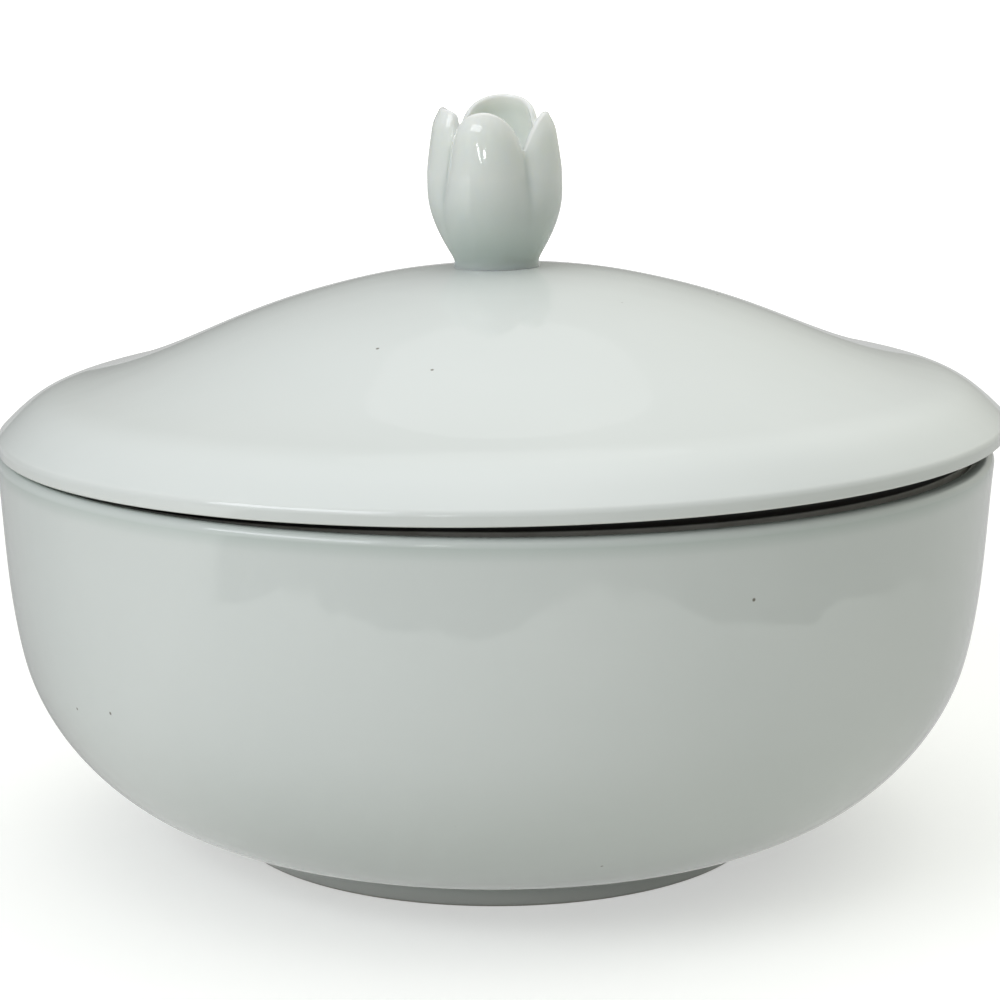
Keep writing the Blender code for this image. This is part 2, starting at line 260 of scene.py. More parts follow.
base_sag = foot_root.x / MM * math.tan(math.radians(BELLY_SLOPE)) / 2
base_middle = at(0, FOOT_HEIGHT - base_sag)
floor_arm = inner_belly[0].x / MM / 3
inner_floor = sweep(base_middle + at(0, BOWL_FLOOR), at(floor_arm, 0), uphill(-BELLY_SLOPE, floor_arm),
                    inner_belly[0], 12)
inner_foot = FOOT_RADIUS - FOOT_WIDTH
base_edge = at(inner_foot - FOOT_TAPER - FOOT_COVE - BASE_INSET, FOOT_HEIGHT - BASE_DROP)
base = sweep(base_edge, at(-BASE_PULL, -BASE_DIP), at(BASE_PULL, 0), base_middle, 10)
print("the base sags by", round(base_sag, 2), "mm inside the foot ring")

# %% Bowl
bowl_profile = draw_profile(
    inner_floor
    + inner_belly[1:]
    + inner_wall[1:]
    + [(at(seat_radius, BOWL_HEIGHT), LIP_WIDTH / 2 - HAIR), (at(BOWL_RADIUS, BOWL_HEIGHT), LIP_CORNER)]
    + wall[1:]
    + belly[1:-1]
    + [
        (at(FOOT_RADIUS + FOOT_TAPER, FOOT_HEIGHT - OUTER_ROOT_DROP), FOOT_COVE),
        (at(FOOT_RADIUS, 0), FOOT_EDGE),
        (at(inner_foot, 0), FOOT_EDGE),
        (at(inner_foot - FOOT_TAPER, FOOT_HEIGHT - INNER_ROOT_DROP), FOOT_COVE),
    ]
    + base
)
bowl_body = turn(bowl_profile)
paint_bare(bowl_body, lambda middle: middle.z < WIPED_HEIGHT)
bowl = make_piece(bowl_body, "porcelain_bowl")
# Painted shade: the glaze turns darker and greener towards the lip, where the lid's edge shades the wall.
shift_glaze_and_shade(bowl, (BOWL_HEIGHT - LIP_SHADE_HEIGHT) * MM, (BOWL_HEIGHT - LIP_CORNER) * MM, LIP_SHADE)
shift_glaze_and_shade(bowl, FOOT_HEIGHT * MM, 0.0, FOOT_GLAZE)

# %% [markdown]
# ## The lid
# The lid is a shallow bell: a crown, a dome that flows down into a waist, a rolled brim and an upright edge.
# Below the edge a flange drops inside the lip of the bowl and keeps the lid from sliding off. In the
# photograph the lid was put down a little askew: it is pushed to the right until the hollow at the root of
# its flange rides up on the lip. A tilted axis would make a spin hard to follow, so the lid is turned about
# its own axis first, and then the whole body is tilted and set in its place.

# %% Sizes of the lid, in mm and degrees
LID_RADIUS = 111.1
LID_WALL = 4.0
LID_EDGE = 3.0
EDGE_TOP, EDGE_ROUND, EDGE_LIFT = 0.8, 0.5, 0.3
BRIM_SLOPE = 44.8
BRIM_INNER_PULL, BRIM_OUTER_PULL = 7.0, 9.6
WAIST_RADIUS, WAIST_HEIGHT = 95.0, 12.5
WAIST_SLOPE = 13.2
DOME_RADIUS, DOME_HEIGHT = 33.0, 33.15
DOME_SLOPE = 12.8
DOME_UPPER_PULL, DOME_LOWER_PULL = 31.7, 26.0
CROWN_RADIUS, CROWN_HEIGHT = 10.1, 36.2
CROWN_SLOPE = 3.7
CROWN_PULL = 7.8
FLANGE_RADIUS = 103.25
FLANGE_WIDTH = 3.2
FLANGE_DEPTH = 9.4
FLANGE_COVE = 6.6
FLANGE_PULL = 6.0
BARE_LEVEL = 0.05
SEAT_PLACE = Vector((1.416, 0, 91.23)) * MM
SEAT_TILT = 0.0177  # radians
print("lid", 2 * LID_RADIUS, "mm across, tilted by", round(math.degrees(SEAT_TILT), 2), "degrees")

# %% Curves of the lid
crown = at(CROWN_RADIUS, CROWN_HEIGHT)
waist = at(WAIST_RADIUS, WAIST_HEIGHT)
dome_top = at(DOME_RADIUS, DOME_HEIGHT)
dome = (sweep(crown, uphill(CROWN_SLOPE, -CROWN_PULL), uphill(DOME_SLOPE, CROWN_PULL), dome_top, 16)
        + sweep(dome_top, uphill(DOME_SLOPE, -DOME_UPPER_PULL), uphill(WAIST_SLOPE, DOME_LOWER_PULL),
                waist, 40)[1:])
brim = sweep(waist, uphill(WAIST_SLOPE, -BRIM_INNER_PULL), uphill(BRIM_SLOPE, BRIM_OUTER_PULL),
             at(LID_RADIUS, LID_EDGE), 28)
under_dome = alongside(dome, LID_WALL)[::-1]
flange_back = FLANGE_RADIUS - FLANGE_WIDTH
under_brim = sweep(at(flange_back, 0), at(0, FLANGE_PULL), uphill(WAIST_SLOPE, -FLANGE_PULL),
                   under_dome[0], 12)
print("the dome is drawn with", len(dome), "stations, the brim with", len(brim))

# %% Lid
flange_round = FLANGE_WIDTH / 2 - HAIR
lid_profile = draw_profile(
    [at(0, CROWN_HEIGHT)]
    + dome
    + brim[1:-2]
    + [
        (brim[-1], EDGE_TOP),
        (at(LID_RADIUS, EDGE_LIFT), EDGE_ROUND),
        (at(FLANGE_RADIUS, 0), FLANGE_COVE),
        (at(FLANGE_RADIUS, -FLANGE_DEPTH), flange_round),
        (at(flange_back, -FLANGE_DEPTH), flange_round),
    ]
    + under_brim
    + under_dome[1:]
    + [at(0, under_dome[-1].y / MM)]
)
lid_body = turn(lid_profile)
flange_middle = FLANGE_RADIUS - FLANGE_WIDTH / 2
paint_bare(lid_body, lambda middle: middle.z < BARE_LEVEL and middle.to_2d().length > flange_middle)
seat = Matrix.Translation(SEAT_PLACE) @ Matrix.Rotation(-SEAT_TILT, 4, "Y")
bmesh.ops.transform(lid_body, matrix=seat, verts=lid_body.verts)
lid = make_piece(lid_body, "porcelain_lid")

# %% [markdown]
# ## The finial
# The knob is a tulip bud with four hand-trimmed petals round a hollow cup. It is cast apart and stuck on
# with slip, which leaves a small fillet at its foot. It is nearly a body of revolution, but its outline
# changes from petal to petal, so a spin can't make it. A flat grid is wrapped round the axis instead: across
# the grid run the petals, and up the grid runs their section, from the foot over the rim down into the cup.
# A little smoothing at the end does what the glaze does, and softens the grooves.

# %% Sizes of the finial, in mm
FINIAL_HEIGHT = 36.9
FINIAL_RADIUS = 15.0
FINIAL_OFFSET = 0.5
NECK_RADIUS = 9.3
NECK_HEIGHT = 1.5
BULGE_HEIGHT = 17.0
OPENING_POWER = 0.95
CLOSING_LENGTH = 16.0
CLOSING_POWER = 1.2
TIP_INSET = 2.5
TIP_CURL = 1.4
CURL_LENGTH = 4.0
PETAL_THICKNESS = 1.5
GROOVE_SHARE = 0.78
LOBE_START, LOBE_FULL = 4.0, 25.0
CUP_FLOOR = 22.5
CUP_FULLNESS = 0.6
FILLET_HEIGHT = 2.0
FILLET_WIDTH = 0.5
FOOT_SINK = 0.8
SLIP_GAP = 0.3
print("finial", 2 * FINIAL_RADIUS, "mm across and", FINIAL_HEIGHT, "mm high")

# %% Outline of the bud and cross-section of a petal


def bud_radius(height):
    """Radius over the ridge of a petal, with the fillet of slip at the foot."""
    fillet = FILLET_WIDTH * max(0.0, 1 - (height + FOOT_SINK) / FILLET_HEIGHT) ** 2
    if height < BULGE_HEIGHT:
        opened = max(0.0, height - NECK_HEIGHT) / (BULGE_HEIGHT - NECK_HEIGHT)
        swell = math.sin(opened * math.pi / 2) ** OPENING_POWER
        return NECK_RADIUS + (FINIAL_RADIUS - NECK_RADIUS) * swell + fillet
    closed = max(0.0, 1 - (FINIAL_HEIGHT - height) / CLOSING_LENGTH)
    return FINIAL_RADIUS - TIP_INSET * closed ** CLOSING_POWER


def petal_place(across, half_sector):
    """Angle from the ridge and share of its radius; a petal's cross-section is an arc off the axis."""
    middle = (1 - GROOVE_SHARE ** 2) / (2 * (1 - GROOVE_SHARE * math.cos(half_sector)))
    groove = math.atan2(GROOVE_SHARE * math.sin(half_sector), GROOVE_SHARE * math.cos(half_sector) - middle)
    ahead = middle + (1 - middle) * math.cos(groove * across)
    aside = (1 - middle) * math.sin(groove * across)
    return math.atan2(aside, ahead), math.hypot(ahead, aside)


print("radius at the neck, the bulge and the tip:",
      [round(bud_radius(height), 1) for height in (NECK_HEIGHT, BULGE_HEIGHT, FINIAL_HEIGHT)])

# %% Section of a petal
FILLET_ROWS, OUTER_ROWS, RIM_ROWS, CUP_ROWS = 8, 40, 12, 16


def petal_section(share, top, tip_share):
    """Stations in mm from the middle of the foot, up the outside, over the rim and down into the cup."""
    def outside(height):
        parted = min(1.0, max(0.0, (height - LOBE_START) / (LOBE_FULL - LOBE_START)))
        curl = TIP_CURL * tip_share * max(0.0, 1 - (top - height) / CURL_LENGTH) ** 2
        return bud_radius(height) * (1 - parted * parted * (3 - 2 * parted) * (1 - share)) - curl

    rim = PETAL_THICKNESS / 2
    rim_height = top - rim
    rim_middle = outside(rim_height) - rim
    section = [(0, -FOOT_SINK)]
    for row in range(FILLET_ROWS):
        height = -FOOT_SINK + FILLET_HEIGHT * row / FILLET_ROWS
        section.append((outside(height), height))
    for row in range(OUTER_ROWS):
        height = FILLET_HEIGHT - FOOT_SINK + (rim_height - FILLET_HEIGHT + FOOT_SINK) * row / OUTER_ROWS
        section.append((outside(height), height))
    for row in range(RIM_ROWS):
        turned = math.pi * row / RIM_ROWS
        section.append((rim_middle + rim * math.cos(turned), rim_height + rim * math.sin(turned)))
    for row in range(CUP_ROWS + 1):
        sunk = math.pi / 2 * row / CUP_ROWS
        height = rim_height - (rim_height - CUP_FLOOR) * math.sin(sunk)
        inside = outside(height) - PETAL_THICKNESS
        section.append((inside * max(0.0, math.cos(sunk)) ** CUP_FULLNESS, height))
    section[-1] = (0, section[-1][1])
    return section


print("a petal's section has", len(petal_section(1.0, FINIAL_HEIGHT, 1.0)), "stations")

# %% Four petals side by side
PETAL_SHARES = (0.255, 0.215, 0.325, 0.205)  # front, right, back and left petal
PETAL_TIPS = (34.0, 33.6, 36.88, 34.7)
PETAL_NOTCHES = (24.4, 29.6, 26.8, 25.8)
PETAL_ROUNDNESS = ((0.55, 0.55), (0.75, 0.4), (0.36, 0.36), (0.4, 0.1))  # either side of each petal
FRONT_TURN = math.radians(-12)
PETAL_STEPS = 36

columns = []
groove_turn = FRONT_TURN - math.pi / 2 - math.pi * PETAL_SHARES[0]
for petal, sector in enumerate(PETAL_SHARES):
    half_sector = math.pi * sector
    for step in range(PETAL_STEPS):
        across = 2 * step / PETAL_STEPS - 1
        notch = PETAL_NOTCHES[petal if across > 0 else petal - 1]
        tip_share = max(0.0, math.cos(across * math.pi / 2)) ** PETAL_ROUNDNESS[petal][across > 0]
        angle, share = petal_place(across, half_sector)
        section = petal_section(share, notch + (PETAL_TIPS[petal] - notch) * tip_share, tip_share)
        columns.append((groove_turn + half_sector + angle, section))
    groove_turn += 2 * half_sector
columns.append(columns[0])
print(len(PETAL_SHARES), "petals in", len(columns) - 1, "columns")

# %% Finial
SOFTENINGS = 3
FINIAL_FOOT_SHADE, FINIAL_SHADE_HEIGHT = 0.8, 22.0  # painted shade: greener, darker glaze towards the finial's foot, where it meets the lid

row_count = len(columns[0][1]) - 1
finial_body = bmesh.new()
bmesh.ops.create_grid(finial_body, x_segments=len(columns) - 1, y_segments=row_count, size=0.5)
for vert in finial_body.verts:
    direction, section = columns[round((vert.co.x + 0.5) * (len(columns) - 1))]
    radius, height = section[round((vert.co.y + 0.5) * row_count)]
    vert.co = Vector((radius * math.cos(direction), radius * math.sin(direction), height)) * MM
close(finial_body)
for softening in range(SOFTENINGS):
    bmesh.ops.smooth_vert(finial_body, verts=finial_body.verts, factor=0.5,
                          use_axis_x=True, use_axis_y=True, use_axis_z=True)
finial_place = seat @ Matrix.Translation(Vector((-FINIAL_OFFSET, 0, CROWN_HEIGHT + SLIP_GAP)) * MM)
bmesh.ops.transform(finial_body, matrix=finial_place, verts=finial_body.verts)
finial = make_piece(finial_body, "tulip_finial")
foot_level = finial_place.translation.z
# Painted shade: the glaze turns darker and greener towards the finial's foot.
shift_glaze_and_shade(finial, foot_level + FINIAL_SHADE_HEIGHT * MM, foot_level, FINIAL_FOOT_SHADE)

# %% [markdown]
# ## Each piece takes its place
# The new pieces stand for the solids of the same name, which stay hidden for collision. The lid and its
# finial ride on the body that lifts off, and the bowl stays behind. Parenting by hand would work at rest
# only, so the frame is told by name what each piece rides on.

# %% Riding on the frame
for piece, node, body in ((bowl, "bowl", "bowl"), (lid, "lid", "lid"), (finial, "finial", "lid")):
    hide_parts(node)
    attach(piece, body)
    print(piece.name, "stands for", node, "and rides on", body)

# %% [markdown]
# ## Colours and nodes
# Colours are written as the hex values of a screen, and one function turns them into the linear light that
# Blender works in. Materials are trees of nodes. Wiring each by hand is long, so one function adds any node
# with its settings and links.

# %% Helpers for materials


def linear(code):
    """Linear colour of an sRGB hex code such as #DDE2DE."""
    parts = [int(code[place:place + 2], 16) / 255 for place in (1, 3, 5)]
    light = [part / 12.92 if part <= 0.04045 else ((part + 0.055) / 1.055) ** 2.4 for part in parts]
    return (*light, 1.0)


def add_node(tree, kind, settings=None, links=None):
    """Adds a node; settings are its properties or the values of sockets, links come from other nodes."""
    node = tree.nodes.new(kind)
    for name, value in (settings or {}).items():
        if isinstance(name, str) and hasattr(node, name):
            setattr(node, name, value)
        else:
            node.inputs[name].default_value = value
    for name, source in (links or {}).items():
        tree.links.new(source, node.inputs[name])
    return node


def new_material(name):
    """A material with an empty tree of nodes."""
    material = bpy.data.materials.new(name)
    material.use_nodes = True
    material.node_tree.nodes.clear()
    return material


print("a pale glaze in linear light:", [round(part, 3) for part in linear("#DDE2DE")])

# %% [markdown]
# ## Glazed porcelain
# Porcelain is a white body under a clear feldspar glaze, fired until it is glassy. A flat white plastic
# would look dead beside it. So the colour is mixed from the bend of the surface and a slow noise, specks
# come from a cell pattern, and the waves are a bump in real size. The petals are thin enough for light to
# pass through, so the finial gets the same glaze over a body that scatters light inside.

# %% Glazed porcelain
# To the eye: a sharp reflection, a cool grey-green cast where the glaze is thick, a whiter line where it
# thins over an edge, long soft waves where it ran, and a rare iron speck.
# The grey-green cast also carries painted shade under the lid's edge and at the finial's foot.
WAVE_SIZE, WAVE_DEPTH = 26 * MM, 0.10 * MM
PEEL_SIZE, PEEL_DEPTH = 2.2 * MM, 0.002 * MM
CLOUD_SIZE = 45 * MM
SPECK_SPACING, SPECK_RADIUS = 15 * MM, 0.45 * MM
LIGHT_DEPTH = 3.0 * MM  # how far light travels inside a petal
POOLED_AND_SHADE_COLOUR, THINNED_COLOUR, SPECK_COLOUR = "#B3BFB8", "#E6E8E3", "#6E6A5C"


def glaze_colour(tree, place, flow, cloud, thick, thin):
    """Colour of the glaze from its thickness and painted shade, with specks; thick and thin are its own two
    colours.
    """
    body = add_node(tree, "ShaderNodeMix", {"data_type": "RGBA", 6: linear(thick), 7: linear(thin)},
                    {0: cloud})
    pooled_and_shade = add_node(tree, "ShaderNodeMapRange", {"From Min": 0.03, "From Max": 0.6, "To Max": 0.8},
                      {"Value": flow})
    greener = add_node(tree, "ShaderNodeMix", {"data_type": "RGBA", 7: linear(POOLED_AND_SHADE_COLOUR)},
                       {0: pooled_and_shade.outputs["Result"], 6: body.outputs[2]})
    thinned = add_node(tree, "ShaderNodeMapRange", {"From Min": -0.08, "From Max": -0.7, "To Max": 0.7},
                       {"Value": flow})
    whiter = add_node(tree, "ShaderNodeMix", {"data_type": "RGBA", 7: linear(THINNED_COLOUR)},
                      {0: thinned.outputs["Result"], 6: greener.outputs[2]})
    cells = add_node(tree, "ShaderNodeTexVoronoi", {"Scale": 1 / SPECK_SPACING}, {"Vector": place})
    reach = SPECK_RADIUS / SPECK_SPACING
    speck = add_node(tree, "ShaderNodeMapRange", {"From Min": reach, "From Max": 0.5 * reach, "To Max": 0.9},
                     {"Value": cells.outputs["Distance"]})
    return add_node(tree, "ShaderNodeMix", {"data_type": "RGBA", 7: linear(SPECK_COLOUR)},
                    {0: speck.outputs["Result"], 6: whiter.outputs[2]}).outputs[2]


def glaze_surface(tree, place):
    """Normal of the glaze: long waves where it ran, and a fine peel on top of them."""
    waves = add_node(tree, "ShaderNodeTexNoise", {"Scale": 1 / WAVE_SIZE, "Detail": 2.5}, {"Vector": place})
    wave_bump = add_node(tree, "ShaderNodeBump", {"Strength": 1.0, "Distance": WAVE_DEPTH},
                         {"Height": waves.outputs["Fac"]})
    peel = add_node(tree, "ShaderNodeTexNoise", {"Scale": 1 / PEEL_SIZE, "Detail": 1.0}, {"Vector": place})
    return add_node(tree, "ShaderNodeBump", {"Strength": 1.0, "Distance": PEEL_DEPTH},
                    {"Height": peel.outputs["Fac"], "Normal": wave_bump.outputs["Normal"]}).outputs["Normal"]


def glazed(name, thick, thin, translucency):
    """Porcelain under glaze; translucency is the share of light that enters the body."""
    glaze = new_material(name)
    tree = glaze.node_tree
    place = add_node(tree, "ShaderNodeTexCoord").outputs["Object"]
    flow = add_node(tree, "ShaderNodeAttribute", {"attribute_name": "glaze_and_shade_flow"}).outputs["Fac"]
    cloud = add_node(tree, "ShaderNodeTexNoise", {"Scale": 1 / CLOUD_SIZE, "Detail": 2.0},
                     {"Vector": place}).outputs["Fac"]
    gloss = add_node(tree, "ShaderNodeMapRange", {"To Min": 0.02, "To Max": 0.06}, {"Value": cloud})
    shader = add_node(tree, "ShaderNodeBsdfPrincipled",
                      {"IOR": 1.5, "Subsurface Weight": translucency, "Subsurface Scale": LIGHT_DEPTH,
                       "Subsurface Radius": (1.0, 0.95, 0.85)},
                      {"Base Color": glaze_colour(tree, place, flow, cloud, thick, thin),
                       "Roughness": gloss.outputs["Result"], "Normal": glaze_surface(tree, place)})
    add_node(tree, "ShaderNodeOutputMaterial", None, {"Surface": shader.outputs["BSDF"]})
    print(name, "has", len(tree.nodes), "nodes")
    return glaze


wall_glaze = glazed("glazed_porcelain", "#D6DCD8", "#DCE1DD", 0.0)
petal_glaze = glazed("glazed_thin_porcelain", "#DDE2DD", "#E4E8E3", 1.0)

# %% [markdown]
# ## Bare porcelain
# The foot ring's face, the outside of the flange and the hollow above it were left without glaze, so that
# the lid doesn't stick to the bowl in the kiln, and the fired body shows there. Grain and dust are two
# noises, both drawn a little coarser than in reality so that they show. A nearly black painted shade sits in
# the hollow of the lid above the lip and below the seat, and makes the black line between bowl and lid. The
# painted shade is found from the bend of the surface and its height.

# %% Dust and painted shade on bare porcelain
# To the eye: a matt, fine-grained warm white with cloudy dust, and a painted shade nearly black in the hollow
# under the edge.
GRAIN_SIZE, GRAIN_DEPTH = 0.7 * MM, 0.03 * MM
DUST_SIZE = 6 * MM
# The last colour is painted shade, nearly black, for the hollow between bowl and lid.
BARE_COLOUR, DUST_COLOUR, GAP_SHADE_COLOUR = "#DBD9D2", "#BCB8AE", "#1E1B18"
GAP_SHADE_ABOVE_LIP = (BOWL_HEIGHT + 0.2) * MM, (BOWL_HEIGHT + 0.6) * MM  # where it starts and where it is full
GAP_SHADE_BELOW_SEAT = 1.8 * MM, 1.4 * MM

bare = new_material("bare_porcelain")
tree = bare.node_tree
place = add_node(tree, "ShaderNodeTexCoord").outputs["Object"]
dust = add_node(tree, "ShaderNodeTexNoise", {"Scale": 1 / DUST_SIZE, "Detail": 4.0}, {"Vector": place})
dust_share = add_node(tree, "ShaderNodeMapRange", {"From Min": 0.45, "From Max": 0.75, "To Max": 0.6},
                      {"Value": dust.outputs["Fac"]})
dusty = add_node(tree, "ShaderNodeMix",
                 {"data_type": "RGBA", 6: linear(BARE_COLOUR), 7: linear(DUST_COLOUR)},
                 {0: dust_share.outputs["Result"]})
flow = add_node(tree, "ShaderNodeAttribute", {"attribute_name": "glaze_and_shade_flow"}).outputs["Fac"]
hollow = add_node(tree, "ShaderNodeMapRange", {"From Min": 0.0, "From Max": 0.05}, {"Value": flow})
level = add_node(tree, "ShaderNodeVectorMath", {"operation": "DOT_PRODUCT", 1: (0, 0, 1)}, {0: place})
above_lip = add_node(tree, "ShaderNodeMapRange",
                     {"From Min": GAP_SHADE_ABOVE_LIP[0], "From Max": GAP_SHADE_ABOVE_LIP[1]},
                     {"Value": level.outputs["Value"]})
seat_up = seat.to_3x3() @ Vector((0, 0, 1))
seat_level = seat_up.dot(SEAT_PLACE)
lid_level = add_node(tree, "ShaderNodeVectorMath", {"operation": "DOT_PRODUCT", 1: seat_up}, {0: place})
at_seat = add_node(tree, "ShaderNodeMapRange",
                   {"From Min": seat_level - GAP_SHADE_BELOW_SEAT[0],
                    "From Max": seat_level - GAP_SHADE_BELOW_SEAT[1]},
                   {"Value": lid_level.outputs["Value"]})
shade_place = add_node(tree, "ShaderNodeMath", {"operation": "MAXIMUM"},
                     {0: above_lip.outputs["Result"], 1: at_seat.outputs["Result"]})
# Painted shade: full where the surface is hollow above the lip or below the lid's seat.
gap_shade = add_node(tree, "ShaderNodeMath", {"operation": "MULTIPLY"},
                 {0: hollow.outputs["Result"], 1: shade_place.outputs["Value"]})
bare_and_shade_colour = add_node(tree, "ShaderNodeMix", {"data_type": "RGBA", 7: linear(GAP_SHADE_COLOUR)},
                       {0: gap_shade.outputs["Value"], 6: dusty.outputs[2]})
print("grime starts", round(GAP_SHADE_ABOVE_LIP[0] / MM, 1), "mm above the table")

# %% Bare porcelain
grain = add_node(tree, "ShaderNodeTexNoise", {"Scale": 1 / GRAIN_SIZE, "Detail": 3.0}, {"Vector": place})
grain_bump = add_node(tree, "ShaderNodeBump", {"Strength": 1.0, "Distance": GRAIN_DEPTH},
                      {"Height": grain.outputs["Fac"]})
shader = add_node(tree, "ShaderNodeBsdfPrincipled", {"IOR": 1.5, "Roughness": 0.8},
                  {"Base Color": bare_and_shade_colour.outputs[2], "Normal": grain_bump.outputs["Normal"]})
add_node(tree, "ShaderNodeOutputMaterial", None, {"Surface": shader.outputs["BSDF"]})
print(bare.name, "has", len(tree.nodes), "nodes")

for piece in (bowl, lid):
    piece.data.materials.append(wall_glaze)
    piece.data.materials.append(bare)
finial.data.materials.append(petal_glaze)

# %% [markdown]
# ## Floor
# The photograph has a plain white ground. A floor that is white to every ray would also light the belly from
# below more than the photograph shows. So the floor is pale grey paper to the light that it sends on, and
# what the camera and reflections see gets a glow on top. The glow grows with the distance, so that the ground
# turns white away from the bowl but still lets the shadow of the bowl show.

# %% Floor
# To the eye: matt paper without grain, softly darker round the foot.
FLOOR_RADIUS = 25.0  # m
NEAR_RADIUS, FAR_RADIUS = 0.25, 1.0  # m
NEAR_GLOW, FAR_GLOW = 0.48, 0.80
PAPER_COLOUR = "#CDCFCA"

floor_body = bmesh.new()
bmesh.ops.create_circle(floor_body, cap_ends=True, segments=96, radius=FLOOR_RADIUS)
floor = make_object(floor_body, "floor")

white_floor = new_material("white_floor")
tree = white_floor.node_tree
paper = add_node(tree, "ShaderNodeBsdfDiffuse", {"Color": linear(PAPER_COLOUR)})
place = add_node(tree, "ShaderNodeTexCoord").outputs["Object"]
away = add_node(tree, "ShaderNodeVectorMath", {"operation": "LENGTH"}, {0: place})
glow_level = add_node(tree, "ShaderNodeMapRange",
                      {"From Min": NEAR_RADIUS, "From Max": FAR_RADIUS,
                       "To Min": NEAR_GLOW, "To Max": FAR_GLOW},
                      {"Value": away.outputs["Value"]})
glow = add_node(tree, "ShaderNodeEmission", None, {"Strength": glow_level.outputs["Result"]})
lit = add_node(tree, "ShaderNodeAddShader", None, {0: paper.outputs["BSDF"], 1: glow.outputs["Emission"]})
path = add_node(tree, "ShaderNodeLightPath")
seen = add_node(tree, "ShaderNodeMath", {"operation": "MAXIMUM"},
                {0: path.outputs["Is Camera Ray"], 1: path.outputs["Is Glossy Ray"]})
seen_through = add_node(tree, "ShaderNodeMath", {"operation": "MAXIMUM"},
                        {0: seen.outputs["Value"], 1: path.outputs["Is Transmission Ray"]})
ground = add_node(tree, "ShaderNodeMixShader", None,
                  {0: seen_through.outputs["Value"], 1: paper.outputs["BSDF"], 2: lit.outputs["Shader"]})
add_node(tree, "ShaderNodeOutputMaterial", None, {"Surface": ground.outputs["Shader"]})
floor.data.materials.append(white_floor)
print("floor of", 2 * FLOOR_RADIUS, "m across")

# %% [markdown]
# ## Soft light
# The photograph was taken in soft room light: brightest from above, with some from the front left, where a
# window adds to it, and a return from behind on the right. Lamps for all of that would show as panes in the
# glaze. So each is a soft glow of the world round a direction, which fades without an edge.

# %% Soft light
GLOWS = (  # direction, sharpness, brightness, colour
    ((0.0, 0.0, 1.0), 6.0, 1.78, "#FFFFFF"),
    ((-0.71, -0.56, 0.42), 5.0, 0.45, "#F4F4FC"),
    ((0.60, 0.60, 0.53), 5.0, 0.90, "#FFFFF4"),
)
DIMMEST = 0.15

world = bpy.data.worlds.new("soft_room")
bpy.context.scene.world = world
world.use_nodes = True
tree = world.node_tree
tree.nodes.clear()
looking = add_node(tree, "ShaderNodeTexCoord").outputs["Generated"]
light = add_node(tree, "ShaderNodeVectorMath", {"operation": "ADD", 0: (DIMMEST, DIMMEST, DIMMEST)})
for towards, sharpness, brightness, colour in GLOWS:
    facing = add_node(tree, "ShaderNodeVectorMath",
                      {"operation": "DOT_PRODUCT", 1: Vector(towards).normalized()}, {0: looking})
    falling = add_node(tree, "ShaderNodeMath", {"operation": "MULTIPLY_ADD", 1: sharpness, 2: -sharpness},
                       {0: facing.outputs["Value"]})
    share = add_node(tree, "ShaderNodeMath", {"operation": "EXPONENT"}, {0: falling.outputs["Value"]})
    glow = add_node(tree, "ShaderNodeVectorMath",
                    {"operation": "SCALE", 0: [part * brightness for part in linear(colour)[:3]]},
                    {"Scale": share.outputs["Value"]})
    light = add_node(tree, "ShaderNodeVectorMath", {"operation": "ADD"},
                     {0: light.outputs["Vector"], 1: glow.outputs["Vector"]})
sky = add_node(tree, "ShaderNodeBackground", None, {"Color": light.outputs["Vector"]})
add_node(tree, "ShaderNodeOutputWorld", None, {"Surface": sky.outputs["Background"]})
print("world of", len(GLOWS), "soft glows")

# %% [markdown]
# ## Lamps
# What has an edge in the glaze needs a lamp with an edge. A window on the left lights the wall and draws the
# thin bright lines along the lip and the lid's edge. Two narrow panes are mirrored as the small spark on the
# finial, and a round ceiling lamp as a faint oval on the lid. A brightness of 1 looks white in a mirror, and
# the power of each lamp is worked out from that and from its size.

# %% Lamps
LID_MIDDLE = (0, 0, 0.11)
FINIAL_MIDDLE = (0, 0, 0.15)


def add_lamp(name, place, aim, size, brightness, colour="#FFFFFF", shape="RECTANGLE", lean=0.0):
    """An area lamp of the size in metres at a place, aimed at a point and leaning by some degrees."""
    lamp = bpy.data.lights.new(name, "AREA")
    lamp.shape = shape
    lamp.color = linear(colour)[:3]
    lamp.size, lamp.size_y = size
    lamp.energy = brightness * math.pi * size[0] * size[1] * (1 if shape == "RECTANGLE" else math.pi / 4)
    holder = bpy.data.objects.new(name, lamp)
    bpy.context.scene.collection.objects.link(holder)
    holder.location = place
    facing = (Vector(aim) - Vector(place)).to_track_quat("-Z", "Y").to_matrix()
    holder.rotation_euler = (facing @ Matrix.Rotation(math.radians(lean), 3, "Z")).to_euler()
    holder.visible_camera = False
    print(name, "gives", round(lamp.energy, 2), "W")


add_lamp("window", (-0.693, -0.624, 0.693), LID_MIDDLE, (0.72, 0.33), 4.6, "#F4F5FD")
add_lamp("left_pane", (-0.490, -0.849, 0.351), FINIAL_MIDDLE, (0.28, 0.012), 20.0, lean=-8.0)
add_lamp("right_pane", (-0.220, -0.953, 0.360), FINIAL_MIDDLE, (0.13, 0.03), 20.0)
add_lamp("ceiling_lamp", (0.0, 0.94, 1.40), LID_MIDDLE, (0.72, 0.72), 0.22, shape="ELLIPSE")

# %% [markdown]
# ## A grey card for the reflections
# White ware on a white ground would lose its outline, so a photographer lays grey card beside and behind it,
# and the glaze mirrors that along its edges. In front the glaze also mirrors where the white paper ends, as
# a dim zone with a wavy border under the lip. Cut-out cards would need many outlines, so one disc on the
# floor holds both, and its nodes make it clear where the paper shows. It shows in reflections only.

# %% Card for the reflections
CARD_RADIUS = 24.5  # m

